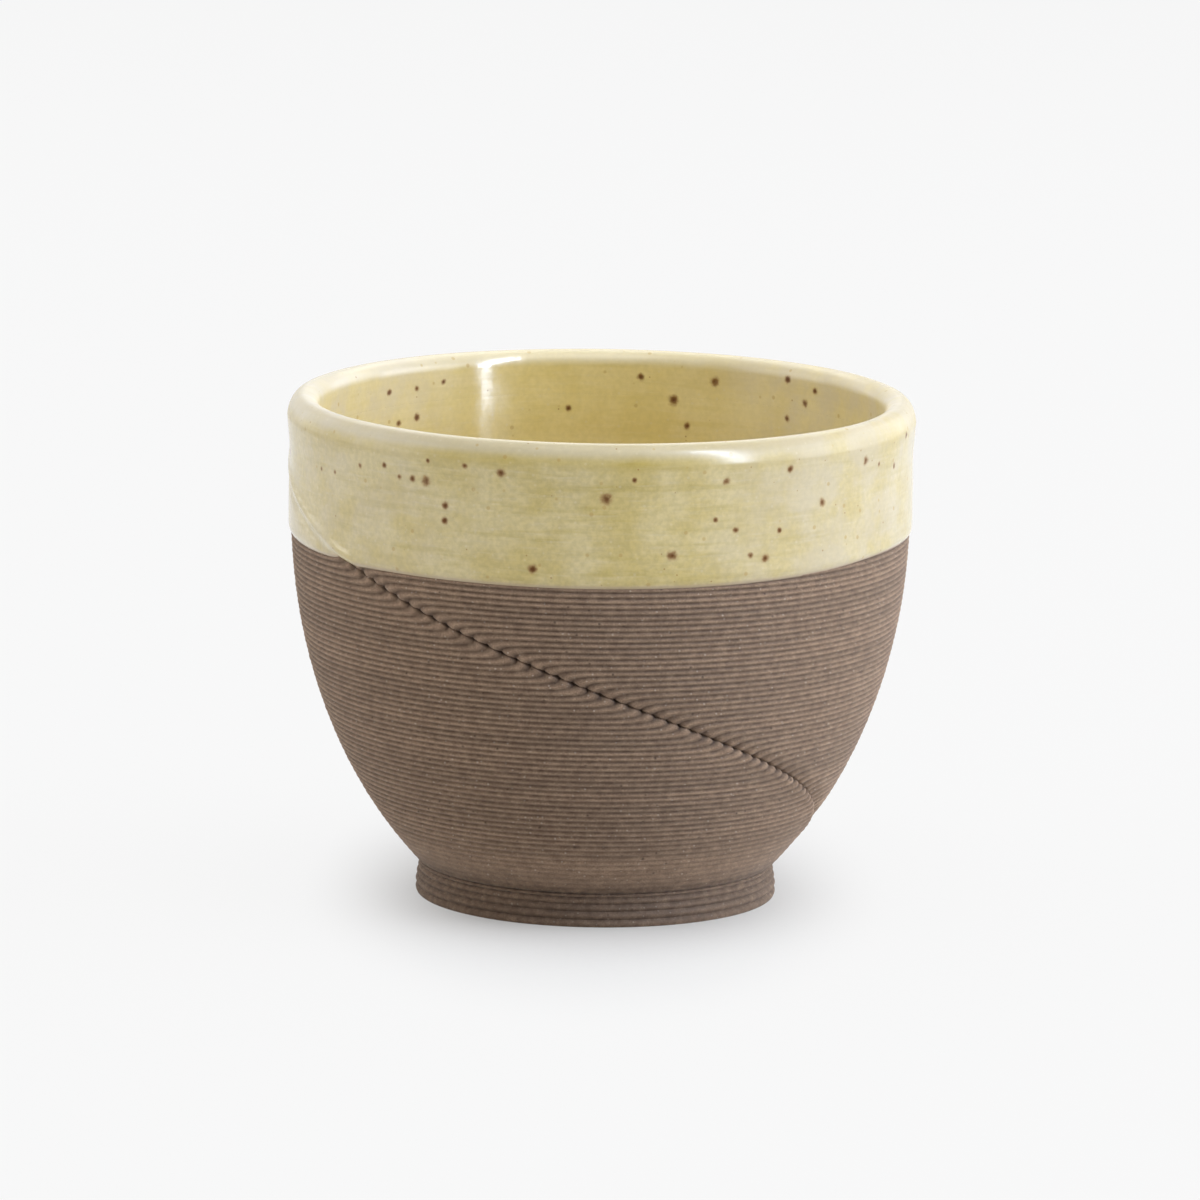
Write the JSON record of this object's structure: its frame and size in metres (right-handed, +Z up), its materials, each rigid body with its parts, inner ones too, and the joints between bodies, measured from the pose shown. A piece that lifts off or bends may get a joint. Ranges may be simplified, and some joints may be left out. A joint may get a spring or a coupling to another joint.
{
  "type": "cappuccino cup",
  "caption": "Handleless stoneware cappuccino cup laid up from fine clay courses, with a crease winding round its bowl, a short foot ring and a glazed inside and rim.",
  "frame": {"origin": "middle of the flat underside", "axes": "+Z up through the mouth, -Y towards the front that the picture shows, +X to the right"},
  "size_m": [0.084, 0.084, 0.0675],
  "materials": {
    "bare_stoneware": "matt fired clay with fine courses",
    "speckled_glaze": "glossy pale yellow glaze with dark iron specks"
  },
  "bodies": {
    "root": {"foot_ring": "bare_stoneware", "floor_disc": "bare_stoneware", "bowl_wall": "bare_stoneware", "rim_glaze": "speckled_glaze", "lining_glaze": "speckled_glaze"}
  },
  "joints": []
}
